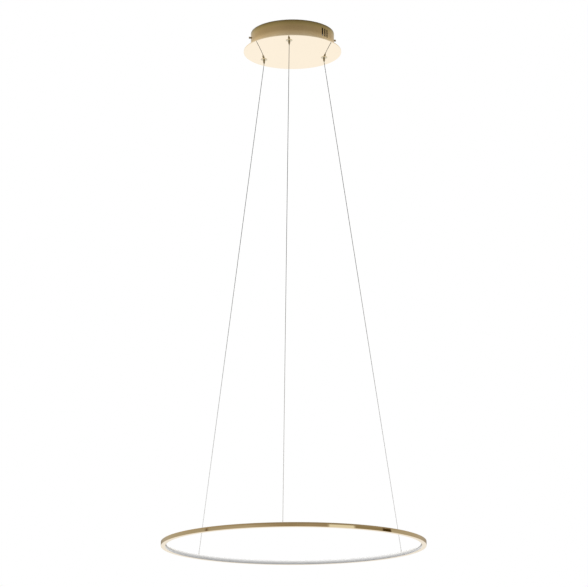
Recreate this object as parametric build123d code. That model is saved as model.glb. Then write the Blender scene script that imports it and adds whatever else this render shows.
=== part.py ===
# Ring chandelier: a slim gold ring with an opal inner diffuser, hung on three thin cables
# from a round canopy. Origin at the centre of the ceiling plane, +Z up, lengths in mm.
# Angles are in degrees from -Y towards +X, so a piece is drawn at (0, -radius) and turned.
from build123d import *
import os
from math import cos, radians, sin, sqrt, tan

# ---- canopy ---------------------------------------------------------------
canopy_height = 60.0  # ceiling plane to the disc's polished face
disc_diameter = 302.0
disc_thickness = 3.0
disc_edge = 0.5
drum_diameter = 258.0
drum_wall = 1.2
drum_bend = 1.0
rim_width = 10.0  # the drum's inturned rim, from the wall's inner face
vent_angle = 44.6
vent_pitch = 4.9
vent_count = 3
vent_groups = 2
vent_length = 27.0
vent_width = 5.6
vent_drop = 25.5  # ceiling plane to the middle of a vent

# ---- ceiling bracket and its side screws ------------------------------------
bracket_thickness = 2.0
bracket_width = 24.0
bracket_ear = 28.0  # drop of the bent-down ears
bracket_bend = 2.0
bracket_gap = 0.5  # ear's corner to the drum's inner face
slot_spacing = 90.0
slot_length = 25.0
slot_width = 5.5
cable_hole_diameter = 16.0
side_screw_drop = 16.0
side_screw_diameter = 4.0
side_screw_length = 10.0  # under the head
side_head_diameter = 6.0
side_head_length = 6.5
driver_slot_width = 1.0
driver_slot_depth = 1.2
head_gap = 0.05

# ---- studs on the disc's back, and their nuts --------------------------------
stud_diameter = 4.0
stud_length = 8.0
stud_hole_diameter = 4.5
stud_nut_flats = 7.0
stud_nut_height = 3.2
drum_stud_angle = 45.0
drum_stud_count = 4
earth_stud_x = 88.0
earth_stud_y = -34.0
thread_gap = 0.05

# ---- driver ------------------------------------------------------------------
driver_length = 130.0
driver_width = 42.0
driver_base_height = 6.0
driver_cover_height = 18.0
driver_wall = 1.6
lug_length = 10.0
lug_width = 16.0
lug_thickness = 2.0
board_gap = 1.4  # board's edge to the driver's wall
board_thickness = 1.6
standoff_height = 2.9
standoff_radius = 2.5
standoff_inset = 8.0
transformer_size = (26.0, 24.0, 14.0)
transformer_x = 8.0
choke_size = (14.0, 16.0, 11.0)
choke_inset = 14.0  # the board's end to the choke's middle
capacitor_radius = 5.0
capacitor_height = 13.0
capacitor_places = ((36.0, 8.0), (36.0, -8.0), (-24.0, 9.0))

# ---- terminal block and earth tag ----------------------------------------------
block_inset = 40.7  # the bracket ear's outer face to the block's middle
block_length = 18.0
block_width = 28.0
block_height = 16.0
pole_pitch = 9.0
entry_diameter = 3.5
entry_depth = 6.0
entry_drop = 8.0
clamp_radius = 1.6
clamp_depth = 3.0
clamp_drops = (5.0, 12.0)
block_screw_diameter = 3.0
block_screw_length = 10.0
block_screw_head = 6.0
tag_radius = 4.0
tag_thickness = 0.8
barrel_radius = 1.7
barrel_length = 6.0

# ---- leads inside the canopy ------------------------------------------------------
lead_diameter = 2.0
driver_lead_z = -45.0
supply_run = ((86.0, -29.0), (82.0, -40.0), (74.0, -45.0))
earth_run = ((86.0, 0.0, -28.0), (86.4, -3.0, -39.0), (87.4, -10.0, -49.0), (88.0, -17.5, -55.3))
first_feed_run = ((-80.0, -6.0, -45.0), (-91.0, -20.0, -42.0), (-92.0, -40.0, -37.0),
                  (-82.0, -59.0, -31.0), (-67.0, -75.0, -25.0), (-50.0, -88.0, -19.0),
                  (-37.0, -96.5, -12.5), (-28.0, -102.5, -9.5))
third_feed_run = ((-80.0, 6.0, -45.0), (-92.0, 20.0, -40.0), (-95.0, 38.0, -30.0),
                  (-92.0, 54.0, -18.0), (-86.0, 64.5, -10.5))
feed_turn_drop = 15.0  # height above the cable's end where a feed lead turns down

# ---- cable grippers ----------------------------------------------------------------
gripper_inset = 9.4  # the rim's inner edge to a gripper's axis
gripper_angle = -11.2
gripper_count = 3
shank_diameter = 10.0
shank_height = 19.0  # above the disc's back
shank_hole_gap = 0.1
flange_diameter = 20.0
flange_thickness = 1.2
nose_diameter = 6.2
nose_length = 8.8
gripper_nut_flats = 14.0
gripper_nut_height = 5.0
chamber_diameter = 6.4
chamber_depth = 8.0  # below the shank's top, where the cone starts
cone_length = 9.5
cap_height = 3.0
cap_hole_diameter = 2.2
press_gap = 0.03

# ---- release plungers, balls and springs --------------------------------------------
plunger_diameter = 4.0
plunger_gap = 0.05
plunger_bore = 1.9
plunger_overhang = 4.5  # below the nose at rest
plunger_tip_diameter = 2.9
plunger_taper = 3.0
plunger_top_drop = 12.3  # below the shank's top
ball_diameter = 1.6
ball_count = 3
ball_drop = 1.4  # below the plunger's top
ball_gap = 0.03
spring_wire = 0.4
spring_radius = 1.6
spring_turns = 6
spring_gap = 0.05

# ---- suspension cables ---------------------------------------------------------------
suspension_drop = 1526.0  # disc face to the ring's top face
cable_diameter = 1.6
end_sleeve_diameter = 3.6
end_sleeve_length = 8.0
sleeve_gap = 0.02

# ---- ring -----------------------------------------------------------------------------
ring_diameter = 780.0
ring_height = 12.5
ring_flange_width = 13.0
ring_web = 1.5
ring_flange = 1.3
ring_edge = 0.4
seam_angle = 70.0
ring_halves = 2
diffuser_wall = 1.4
diffuser_crown = 2.4
diffuser_leg = 2.6
diffuser_leg_thickness = 1.0
diffuser_gap = 0.1
strip_thickness = 0.4
strip_height = 8.0
strip_gap = 0.3  # adhesive tape between the strip and the channel's web
strip_opening = 4.0  # degrees left open between the strip's ends
chip_count = 120
chip_width = 3.0
chip_height = 3.0
chip_thickness = 0.8
chip_gap = 0.01

# ---- cable ends on the ring, and the seams' splice plates --------------------------------
anchor_inset = 6.5  # ring's outer face to the cable's end
anchor_angle = -10.5
anchor_spread = 126.7
ferrule_diameter = 3.0
ferrule_height = 5.0
shoulder_diameter = 5.2
shoulder_height = 0.8
ferrule_stud_length = 5.5  # below the ring's top face
anchor_nut_flats = 5.5
anchor_nut_height = 2.4
contact_thickness = 0.5
contact_radius = 2.8
contact_width = 3.0
contact_leg = 4.7
contact_gap = 0.35
splice_arc = 7.0
splice_width = 6.5
splice_thickness = 2.0
splice_screw_diameter = 3.0
splice_screw_arc = 4.4  # between the two screws of a seam
splice_head_diameter = 5.0
splice_head_height = 1.2
screw_hole_gap = 0.1

# ---- worked-out places ----------------------------------------------------------------------
disc_face_z = -canopy_height
disc_back_z = disc_face_z + disc_thickness
block_bottom_z = -bracket_thickness - block_height
drum_inner_radius = drum_diameter / 2 - drum_wall
rim_inner_radius = drum_inner_radius - rim_width
drum_stud_radius = (drum_inner_radius + rim_inner_radius) / 2
gripper_circle_radius = rim_inner_radius - gripper_inset
ear_face_x = sqrt(drum_inner_radius**2 - (bracket_width / 2) ** 2) - bracket_gap
block_x = ear_face_x - block_inset
lug_stud_x = (driver_length + lug_length) / 2
board_length = driver_length - 2 * (driver_wall + board_gap)
board_width = driver_width - 2 * (driver_wall + board_gap)
choke_x = choke_inset - board_length / 2
shank_top_z = disc_back_z + shank_height
nose_end_z = disc_face_z - flange_thickness - nose_length
cable_top_z = nose_end_z - plunger_overhang
cable_end_z = shank_top_z + end_sleeve_length
cone_top_z = shank_top_z - chamber_depth
cone_bottom_z = cone_top_z - cone_length
plunger_top_z = shank_top_z - plunger_top_drop
ring_radius = ring_diameter / 2
ring_top_z = disc_face_z - suspension_drop
ring_bottom_z = ring_top_z - ring_height
ring_middle_z = ring_top_z - ring_height / 2
lip_radius = ring_radius - ring_flange_width
anchor_radius = ring_radius - anchor_inset
channel_top_z = ring_top_z - ring_flange
strip_radius = ring_radius - ring_web - strip_gap - strip_thickness
ferrule_top_z = ring_top_z + ferrule_height
gripper_angles = [gripper_angle + n * 360 / gripper_count for n in range(gripper_count)]
anchor_angles = [anchor_angle, anchor_angle + anchor_spread, anchor_angle - anchor_spread]
seam_angles = [seam_angle + n * 360 / ring_halves for n in range(ring_halves)]

os.makedirs("parts", exist_ok=True)


def save(name, *pieces):
    """Writes the pieces' solids as one node."""
    solids = [solid for piece in pieces for solid in piece.solids()]
    export_step(solids[0] if len(solids) == 1 else Compound(solids), f"parts/{name}.step")


def rod(radius, bottom, top, x=0.0, y=0.0):
    """Upright cylinder between two heights."""
    return Pos(x, y, bottom) * Cylinder(radius, top - bottom, align=(Align.CENTER, Align.CENTER, Align.MIN))


def cone(bottom_radius, top_radius, bottom, top, x=0.0, y=0.0):
    """Upright cone between two heights."""
    ends = (Align.CENTER, Align.CENTER, Align.MIN)
    return Pos(x, y, bottom) * Cone(bottom_radius, top_radius, top - bottom, align=ends)


def block(size, bottom, x=0.0, y=0.0):
    """Upright box with its underside at a height."""
    return Pos(x, y, bottom) * Box(*size, align=(Align.CENTER, Align.CENTER, Align.MIN))


def nut(flats, hole_radius, bottom, height, x=0.0, y=0.0):
    """Hexagon nut with a plain bore."""
    hexagon = RegularPolygon(flats / 2, 6, major_radius=False)
    return Pos(x, y, bottom) * extrude(hexagon, height) - rod(hole_radius, bottom, bottom + height, x, y)


def turned(angle, piece):
    """A piece drawn at -Y, turned to its angle."""
    return Rot(0, 0, angle) * piece


def polar(radius, angle, z):
    """The point at a radius, an angle and a height."""
    return Vector(radius * sin(radians(angle)), -radius * cos(radians(angle)), z)


def revolved(outline, start=0.0, arc=360.0):
    """A section of (radius, height) points turned about Z, from one angle through an arc."""
    section = make_face(Polyline([(r, 0, z) for r, z in outline], close=True))
    # a section in the XZ plane stands at 90 degrees on the scale that starts at -Y
    return Rot(0, 0, start - 90) * revolve(section, Axis.Z, arc)


def corner_radii(route):
    """0.45 of each corner's shorter run over the tangent of half its turn."""
    points = [Vector(*p) for p in route]
    radii = []
    for before, here, after in zip(points, points[1:], points[2:]):
        turn = (here - before).get_angle(after - here)
        shorter = min((here - before).length, (after - here).length)
        radii.append(0.45 * shorter / tan(radians(turn / 2)))
    return radii


def lead(name, route):
    """A round lead along straight runs joined by tangent arcs, which prints its radii."""
    radii = corner_radii(route)
    path = FilletPolyline(*[Vector(*p) for p in route], radius=radii)
    tube = sweep(Plane(origin=path @ 0, z_dir=path % 0) * Circle(lead_diameter / 2), path=path)
    share = tube.volume / (path.length * 3.14159265 * lead_diameter**2 / 4)
    print(name, "radii", [round(r, 1) for r in radii], "length", round(path.length, 1),
          "volume share", round(share, 4))
    return tube


# ---- ceiling bracket: a steel bar with two bent-down ears -----------------------------
def ceiling_bracket():
    half = ear_face_x
    inner = half - bracket_thickness
    outline = Polyline((-half, 0, 0), (half, 0, 0), (half, 0, -bracket_ear),
                       (inner, 0, -bracket_ear), (inner, 0, -bracket_thickness),
                       (-inner, 0, -bracket_thickness), (-inner, 0, -bracket_ear),
                       (-half, 0, -bracket_ear), close=True)
    bar = extrude(make_face(outline), bracket_width / 2, dir=(0, 1, 0), both=True)
    bends = [e for e in bar.edges().filter_by(Axis.Y) if abs(e.center().Z) < 0.01]
    bar = fillet(bends, bracket_bend)
    for x in (-slot_spacing / 2, slot_spacing / 2):
        slot = extrude(Pos(x, 0, -bracket_thickness) * SlotOverall(slot_length, slot_width), bracket_thickness)
        bar -= slot
    bar -= rod(cable_hole_diameter / 2, -bracket_thickness, 0)
    bar -= rod(block_screw_diameter / 2 + screw_hole_gap, -bracket_thickness, 0, block_x)
    bar -= block_screw_cone(screw_hole_gap)
    hole = Cylinder(side_screw_diameter / 2 + thread_gap, 3 * half, rotation=(0, 90, 0))
    return bar - Pos(0, 0, -side_screw_drop) * hole


def block_screw_cone(gap):
    """Countersunk head of the terminal block's screw, flush with the bracket's top."""
    head = block_screw_head / 2
    shank = block_screw_diameter / 2
    return cone(shank + gap, head + gap, -(head - shank), 0, block_x)


def block_screw():
    shank = rod(block_screw_diameter / 2, -block_screw_length, -0.5, block_x)
    return shank + block_screw_cone(0)


def side_screws():
    """Two screws through the drum's wall into the bracket's ears."""
    seat = drum_diameter / 2 + head_gap
    head = Pos(0, -seat - side_head_length / 2, 0) * Cylinder(
        side_head_diameter / 2, side_head_length, rotation=(90, 0, 0))
    outer_edge = head.edges().filter_by(GeomType.CIRCLE).sort_by(Axis.Y)[0]
    head = chamfer(outer_edge, 0.6)
    slot = Box(driver_slot_width, driver_slot_depth, side_head_diameter)
    head -= Pos(0, -seat - side_head_length + driver_slot_depth / 2, 0) * slot
    shank = Pos(0, -seat + side_screw_length / 2, 0) * Cylinder(
        side_screw_diameter / 2, side_screw_length, rotation=(90, 0, 0))
    screw = Pos(0, 0, -side_screw_drop) * (head + shank)
    return [turned(angle, screw) for angle in (90, -90)]


# ---- canopy: a drum with an inturned rim, on a polished disc ------------------------------
def canopy_drum():
    radius = drum_diameter / 2
    outer = rod(radius, disc_back_z, 0)
    outer = fillet(outer.edges().filter_by(GeomType.CIRCLE).sort_by(Axis.Z)[0], drum_bend)
    drum = outer - rod(drum_inner_radius, disc_back_z + drum_wall, 0)
    drum -= rod(rim_inner_radius, disc_back_z, disc_back_z + drum_wall)
    vent = Pos(0, -radius, -vent_drop) * Box(vent_width, 4 * drum_wall, vent_length - vent_width)
    for end in (-1, 1):
        z = -vent_drop + end * (vent_length - vent_width) / 2
        vent += Pos(0, -radius, z) * Cylinder(vent_width / 2, 4 * drum_wall, rotation=(90, 0, 0))
    for group in range(vent_groups):
        for n in range(vent_count):
            angle = vent_angle + group * 360 / vent_groups + (n - (vent_count - 1) / 2) * vent_pitch
            drum -= turned(angle, vent)
    hole = Cylinder(stud_hole_diameter / 2, 2.2 * radius, rotation=(0, 90, 0))
    drum -= Pos(0, 0, -side_screw_drop) * hole
    for x, y in drum_stud_places():
        drum -= rod(stud_hole_diameter / 2, disc_back_z, disc_back_z + drum_wall, x, y)
    return drum


def canopy_disc():
    disc = rod(disc_diameter / 2, disc_face_z, disc_back_z)
    disc = fillet(disc.edges().filter_by(GeomType.CIRCLE), disc_edge)
    for angle in gripper_angles:
        place = polar(gripper_circle_radius, angle, 0)
        disc -= rod(shank_diameter / 2 + shank_hole_gap, disc_face_z, disc_back_z, place.X, place.Y)
    return disc


def drum_stud_places():
    angles = [drum_stud_angle + n * 360 / drum_stud_count for n in range(drum_stud_count)]
    return [(polar(drum_stud_radius, a, 0).X, polar(drum_stud_radius, a, 0).Y) for a in angles]


def stud_seats():
    """(x, y, thickness under the nut) for the drum's rim, the driver's lugs and the earth tag."""
    seats = [(x, y, drum_wall) for x, y in drum_stud_places()]
    seats += [(x, 0.0, lug_thickness) for x in (-lug_stud_x, lug_stud_x)]
    return seats + [(earth_stud_x, earth_stud_y, tag_thickness)]


def disc_studs():
    return [rod(stud_diameter / 2, disc_back_z, disc_back_z + stud_length, x, y) for x, y, _ in stud_seats()]


def disc_nuts():
    hole = stud_diameter / 2 + thread_gap
    return [nut(stud_nut_flats, hole, disc_back_z + seat, stud_nut_height, x, y) for x, y, seat in stud_seats()]


# ---- driver: a tray with two lugs, a cover, and the board between them ----------------------
def driver_base():
    inner = (driver_length - 2 * driver_wall, driver_width - 2 * driver_wall, driver_base_height)
    base = block((driver_length, driver_width, driver_base_height), disc_back_z)
    base -= block(inner, disc_back_z + driver_wall)
    for x in (-lug_stud_x, lug_stud_x):
        base += block((lug_length, lug_width, lug_thickness), disc_back_z, x)
        base -= rod(stud_hole_diameter / 2, disc_back_z, disc_back_z + lug_thickness, x)
    floor = disc_back_z + driver_wall
    for x in (-1, 1):
        for y in (-1, 1):
            corner = (x * (board_length / 2 - standoff_inset), y * (board_width / 2 - standoff_inset))
            base += rod(standoff_radius, floor, floor + standoff_height, *corner)
    return base


def driver_cover():
    bottom = disc_back_z + driver_base_height
    cover = block((driver_length, driver_width, driver_cover_height), bottom)
    inner = (driver_length - 2 * driver_wall, driver_width - 2 * driver_wall)
    return cover - block((*inner, driver_cover_height - driver_wall), bottom)


def driver_board():
    bottom = disc_back_z + driver_wall + standoff_height
    return block((board_length, board_width, board_thickness), bottom)


def driver_components():
    top = disc_back_z + driver_wall + standoff_height + board_thickness
    parts = [block(transformer_size, top, transformer_x), block(choke_size, top, choke_x)]
    return parts + [rod(capacitor_radius, top, top + capacitor_height, x, y) for x, y in capacitor_places]


# ---- terminal block under the bracket, and the earth tag on the disc ---------------------------
def terminal_block():
    body = block((block_length, block_width, block_height), block_bottom_z, block_x)
    body -= rod(block_screw_diameter / 2 + thread_gap, -block_screw_length, 0, block_x)
    outer_face = block_x + block_length / 2
    for pole in (-1, 0, 1):
        entry = Cylinder(entry_diameter / 2, 2 * entry_depth, rotation=(0, 90, 0))
        body -= Pos(outer_face, pole * pole_pitch, -bracket_thickness - entry_drop) * entry
    for drop, pole in clamp_places():
        pocket = Cylinder(clamp_radius + thread_gap, 2 * clamp_depth, rotation=(0, 90, 0))
        body -= Pos(block_x - block_length / 2, pole * pole_pitch, -bracket_thickness - drop) * pocket
    return body


def clamp_places():
    return [(drop, pole) for drop in clamp_drops for pole in (-1, 0, 1)]


def clamp_screws():
    """Slotted screws sunk in the block's inner face."""
    screw = Cylinder(clamp_radius, clamp_depth, rotation=(0, 90, 0))
    screw -= Pos(-clamp_depth / 2, 0, 0) * Box(driver_slot_depth, 2 * clamp_radius, 0.6)
    x = block_x - block_length / 2 + clamp_depth / 2
    return [Pos(x, pole * pole_pitch, -bracket_thickness - drop) * screw for drop, pole in clamp_places()]


def earth_tag():
    """Ring tongue under the earth stud's nut, with its crimped barrel."""
    tongue = rod(tag_radius, disc_back_z, disc_back_z + tag_thickness, earth_stud_x, earth_stud_y)
    reach = earth_stud_y + tag_radius - 1.0
    neck_size = (2 * barrel_radius, 2.0, tag_thickness)
    tongue += block(neck_size, disc_back_z, earth_stud_x, reach + 1.0)
    barrel = Cylinder(barrel_radius, barrel_length, rotation=(90, 0, 0))
    y = earth_stud_y + tag_radius + barrel_length / 2
    tongue += Pos(earth_stud_x, y, disc_back_z + barrel_radius) * barrel
    return tongue - rod(stud_diameter / 2 + thread_gap, disc_back_z, disc_back_z + tag_thickness,
                        earth_stud_x, earth_stud_y)


# ---- cable grippers: flanged bodies through the disc, with nut, cap, plunger, balls, spring --------
def gripper_places():
    return [polar(gripper_circle_radius, angle, 0) for angle in gripper_angles]


def gripper_body(x, y):
    body = rod(shank_diameter / 2, disc_face_z, shank_top_z, x, y)
    body += rod(flange_diameter / 2, disc_face_z - flange_thickness, disc_face_z, x, y)
    body += rod(nose_diameter / 2, nose_end_z, disc_face_z, x, y)
    body -= rod(chamber_diameter / 2, cone_top_z, shank_top_z, x, y)
    neck = plunger_diameter / 2 + plunger_gap
    body -= cone(neck, chamber_diameter / 2, cone_bottom_z, cone_top_z, x, y)
    return body - rod(neck, nose_end_z, cone_bottom_z, x, y)


def gripper_cap(x, y):
    cap = rod(chamber_diameter / 2 - press_gap, shank_top_z - cap_height, shank_top_z, x, y)
    return cap - rod(cap_hole_diameter / 2, shank_top_z - cap_height, shank_top_z, x, y)


def ball_angles():
    return [n * 360 / ball_count for n in range(ball_count)]


def ball_place(x, y, angle):
    radius = cable_diameter / 2 + ball_diameter / 2 + ball_gap
    return Vector(x, y, 0) + polar(radius, angle, plunger_top_z - ball_drop)


def plunger(x, y):
    tip_top = cable_top_z + plunger_taper
    piece = rod(plunger_diameter / 2, tip_top, plunger_top_z, x, y)
    piece += cone(plunger_tip_diameter / 2, plunger_diameter / 2, cable_top_z, tip_top, x, y)
    piece -= rod(plunger_bore / 2, cable_top_z, plunger_top_z, x, y)
    for angle in ball_angles():
        place = ball_place(x, y, angle)
        pocket = Cylinder(ball_diameter / 2 + ball_gap, plunger_diameter, rotation=(90, 0, 0))
        piece -= Pos(x, y, place.Z) * turned(angle, Pos(0, -plunger_diameter / 2, 0) * pocket)
    return piece


def balls(x, y):
    return [Pos(*ball_place(x, y, angle)) * Sphere(ball_diameter / 2) for angle in ball_angles()]


def spring(x, y):
    """Open compression spring between the plunger's top and the cap."""
    bottom = plunger_top_z + spring_gap + spring_wire / 2
    height = shank_top_z - cap_height - spring_gap - spring_wire / 2 - bottom
    path = Helix(pitch=height / spring_turns, height=height, radius=spring_radius)
    wire = Plane(origin=path @ 0, z_dir=path % 0) * Circle(spring_wire / 2)
    return Pos(x, y, bottom) * sweep(wire, path=path, is_frenet=True)


# ---- cables: an upright end in each gripper, and the taut span down to the ring -------------------
def cable_end(x, y):
    return rod(cable_diameter / 2, cable_top_z, cable_end_z, x, y)


def end_sleeve(x, y):
    sleeve = rod(end_sleeve_diameter / 2, shank_top_z, cable_end_z, x, y)
    return sleeve - rod(cable_diameter / 2 + sleeve_gap, shank_top_z, cable_end_z, x, y)


def cable_span(number):
    """Straight run from the plunger's tip to the ferrule, cut level at both ends."""
    top = polar(gripper_circle_radius, gripper_angles[number], cable_top_z)
    bottom = polar(anchor_radius, anchor_angles[number], ferrule_top_z)
    along = (bottom - top).normalized()
    overrun = 2 * cable_diameter
    start = top - along * overrun
    run = (bottom - top).length + 2 * overrun
    tube = Plane(origin=start, z_dir=along) * Cylinder(
        cable_diameter / 2, run, align=(Align.CENTER, Align.CENTER, Align.MIN))
    level = block((ring_diameter, ring_diameter, cable_top_z - ferrule_top_z), ferrule_top_z)
    return tube & level


# ---- ring: two half hoops of channel, an opal diffuser, and the light strip inside -----------------
def ring_half(start):
    outer, inner = ring_radius, lip_radius
    web = outer - ring_web
    floor = ring_bottom_z + ring_flange
    e = ring_edge
    outline = [(inner, ring_top_z), (outer - e, ring_top_z), (outer, ring_top_z - e),
               (outer, ring_bottom_z + e), (outer - e, ring_bottom_z), (inner, ring_bottom_z),
               (inner, floor), (web, floor), (web, channel_top_z), (inner, channel_top_z)]
    half = revolved(outline, start, 360 / ring_halves)
    for angle in anchor_angles:
        half -= turned(angle, rod(ferrule_diameter / 2 + screw_hole_gap, channel_top_z, ring_top_z,
                                  0, -anchor_radius))
    for angle in splice_screw_angles():
        half -= turned(angle, rod(splice_screw_diameter / 2 + screw_hole_gap, channel_top_z,
                                  ring_top_z, 0, -anchor_radius))
    return half


def ring_diffuser():
    """Crowned strip that covers the channel's mouth, with two legs inside the flanges."""
    back = lip_radius - diffuser_gap
    leg_end = lip_radius + diffuser_leg
    crown = back - diffuser_crown
    low, high = ring_bottom_z, ring_top_z
    leg_low, leg_high = low + ring_flange, high - ring_flange
    t = diffuser_leg_thickness
    outer = ThreePointArc((back, 0, low), (crown, 0, ring_middle_z), (back, 0, high))
    inner = ThreePointArc((back, 0, leg_low + t), (crown + diffuser_wall, 0, ring_middle_z),
                          (back, 0, leg_high - t))
    sides = [Polyline((back, 0, high), (back, 0, leg_high), (leg_end, 0, leg_high),
                      (leg_end, 0, leg_high - t), (back, 0, leg_high - t)),
             Polyline((back, 0, leg_low + t), (leg_end, 0, leg_low + t), (leg_end, 0, leg_low),
                      (back, 0, leg_low), (back, 0, low))]
    return revolve(make_face([outer, inner, *sides]), Axis.Z, 360)


def light_strip():
    half = strip_height / 2
    outline = [(strip_radius, ring_middle_z - half), (strip_radius + strip_thickness, ring_middle_z - half),
               (strip_radius + strip_thickness, ring_middle_z + half), (strip_radius, ring_middle_z + half)]
    return revolved(outline, seam_angle + strip_opening / 2, 360 - strip_opening)


def light_chips():
    """Chips on the strip's inner face, spaced so that each cable end falls between two."""
    step = 360 / chip_count
    radial = strip_radius - chip_thickness / 2 - chip_gap
    chip = Pos(0, -radial, ring_middle_z) * Box(chip_width, chip_thickness, chip_height)
    angles = [anchor_angle + (n + 0.5) * step for n in range(chip_count)]
    clear = strip_opening / 2 + step / 4
    return [turned(a, chip) for a in angles if abs((a - seam_angle + 180) % 360 - 180) > clear]


def splice_screw_angles():
    return [seam + side * splice_screw_arc / 2 for seam in seam_angles for side in (-1, 1)]


def splice_plate(seam):
    low = channel_top_z - splice_thickness
    inner = anchor_radius - splice_width / 2
    outer = anchor_radius + splice_width / 2
    outline = [(inner, low), (outer, low), (outer, channel_top_z), (inner, channel_top_z)]
    plate = revolved(outline, seam - splice_arc / 2, splice_arc)
    for side in (-1, 1):
        hole = rod(splice_screw_diameter / 2 + thread_gap, low, channel_top_z, 0, -anchor_radius)
        plate -= turned(seam + side * splice_screw_arc / 2, hole)
    return plate


def splice_screw(angle):
    screw = rod(splice_screw_diameter / 2, channel_top_z - splice_thickness, ring_top_z, 0, -anchor_radius)
    screw += rod(splice_head_diameter / 2, ring_top_z, ring_top_z + splice_head_height, 0, -anchor_radius)
    return turned(angle, screw)


def ferrule(angle):
    """Swaged cable end: a shoulder on the ring's top and a threaded stud through it."""
    y = -anchor_radius
    piece = rod(ferrule_diameter / 2, ring_top_z - ferrule_stud_length, ferrule_top_z, 0, y)
    piece += rod(shoulder_diameter / 2, ring_top_z, ring_top_z + shoulder_height, 0, y)
    return turned(angle, piece)


def contact_ring(angle, fed):
    """Washer under the flange; on a fed cable it reaches out and down onto the light strip."""
    y = -anchor_radius
    low = channel_top_z - contact_thickness
    piece = rod(contact_radius, low, channel_top_z, 0, y)
    if fed:
        outer = strip_radius - contact_gap
        arm = outer - anchor_radius
        piece += block((contact_width, arm, contact_thickness), low, 0, y - arm / 2)
        leg_place = (0, -outer + contact_thickness / 2)
        piece += block((contact_width, contact_thickness, contact_leg), channel_top_z - contact_leg, *leg_place)
    return turned(angle, piece - rod(ferrule_diameter / 2 + thread_gap, low, channel_top_z, 0, y))


def anchor_nut(angle):
    bottom = channel_top_z - contact_thickness - anchor_nut_height
    hole = ferrule_diameter / 2 + thread_gap
    return turned(angle, nut(anchor_nut_flats, hole, bottom, anchor_nut_height, 0, -anchor_radius))


def supply_lead(name, side):
    """From the terminal block's underside into the driver's near end."""
    run = [(block_x, block_bottom_z), *supply_run, (driver_length / 2, driver_lead_z)]
    return lead(name, [(x, side * pole_pitch, z) for x, z in run])


def earth_lead(name):
    """From the terminal block's underside into the earth tag's barrel."""
    barrel_end = (earth_stud_x, earth_stud_y + tag_radius + barrel_length, disc_back_z + barrel_radius)
    return lead(name, [(block_x, 0, block_bottom_z), *earth_run, barrel_end])


def feed_lead(name, run, place):
    """From the driver's far end over the canopy and down onto a cable's end."""
    start = (-driver_length / 2, run[0][1], driver_lead_z)
    finish = [(place.X, place.Y, cable_end_z + feed_turn_drop), (place.X, place.Y, cable_end_z)]
    return lead(name, [start, *run, *finish])


save("ceiling_bracket", ceiling_bracket())
save("side_screws", *side_screws())
save("canopy_drum", canopy_drum())
save("canopy_disc", canopy_disc())
save("disc_studs", *disc_studs())
save("disc_nuts", *disc_nuts())
save("driver_base", driver_base())
save("driver_cover", driver_cover())
save("driver_board", driver_board())
save("driver_components", *driver_components())
save("terminal_block", terminal_block())
save("terminal_clamp_screws", *clamp_screws())
save("terminal_block_screw", block_screw())
save("earth_tag", earth_tag())
save("live_lead", supply_lead("live_lead", -1))
save("neutral_lead", supply_lead("neutral_lead", 1))
save("earth_lead", earth_lead("earth_lead"))
first_place, second_place, third_place = gripper_places()
save("positive_feed_lead", feed_lead("positive_feed_lead", first_feed_run, first_place))
save("negative_feed_lead", feed_lead("negative_feed_lead", third_feed_run, third_place))

save("gripper_bodies", *[gripper_body(p.X, p.Y) for p in gripper_places()])
hole_radius = shank_diameter / 2 + thread_gap
save("gripper_nuts", *[nut(gripper_nut_flats, hole_radius, disc_back_z, gripper_nut_height, p.X, p.Y)
                       for p in gripper_places()])
save("gripper_caps", *[gripper_cap(p.X, p.Y) for p in gripper_places()])
save("cable_ends", *[cable_end(p.X, p.Y) for p in gripper_places()])
save("cable_end_sleeves", *[end_sleeve(p.X, p.Y) for p in gripper_places()])
for number, p in enumerate(gripper_places()):
    save(f"release_plunger_{number + 1}", plunger(p.X, p.Y))
    save(f"gripper_balls_{number + 1}", *balls(p.X, p.Y))
    save(f"gripper_spring_{number + 1}", spring(p.X, p.Y))
    save(f"suspension_cable_{number + 1}", cable_span(number))

save("ring_half_right", ring_half(seam_angle - 180))
save("ring_half_left", ring_half(seam_angle))
save("ring_diffuser", ring_diffuser())
save("light_strip", light_strip())
save("light_chips", *light_chips())
save("splice_plates", *[splice_plate(seam) for seam in seam_angles])
save("splice_screws", *[splice_screw(angle) for angle in splice_screw_angles()])
save("cable_ferrules", *[ferrule(angle) for angle in anchor_angles])
save("ferrule_nuts", *[anchor_nut(angle) for angle in anchor_angles])
first_anchor, second_anchor, third_anchor = anchor_angles
save("feed_contacts", contact_ring(first_anchor, True), contact_ring(third_anchor, True))
save("ferrule_washer", contact_ring(second_anchor, False))
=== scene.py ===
from math import cos, pi, radians, sin

import bmesh
import bpy
import numpy as np
from mathutils import Matrix


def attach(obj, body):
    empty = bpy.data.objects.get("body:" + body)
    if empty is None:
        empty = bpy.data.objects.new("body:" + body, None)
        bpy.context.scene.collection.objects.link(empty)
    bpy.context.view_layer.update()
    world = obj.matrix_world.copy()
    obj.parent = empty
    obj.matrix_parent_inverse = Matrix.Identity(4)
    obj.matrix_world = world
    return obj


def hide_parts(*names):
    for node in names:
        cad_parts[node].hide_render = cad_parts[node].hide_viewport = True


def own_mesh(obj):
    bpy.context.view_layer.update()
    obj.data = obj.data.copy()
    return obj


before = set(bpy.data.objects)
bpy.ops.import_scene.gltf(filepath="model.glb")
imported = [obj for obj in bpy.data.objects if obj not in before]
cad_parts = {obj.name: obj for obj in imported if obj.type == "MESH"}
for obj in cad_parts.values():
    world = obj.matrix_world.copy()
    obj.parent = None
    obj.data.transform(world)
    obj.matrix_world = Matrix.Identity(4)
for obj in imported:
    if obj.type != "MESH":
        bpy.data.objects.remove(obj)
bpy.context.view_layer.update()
mm = 0.001

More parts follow.
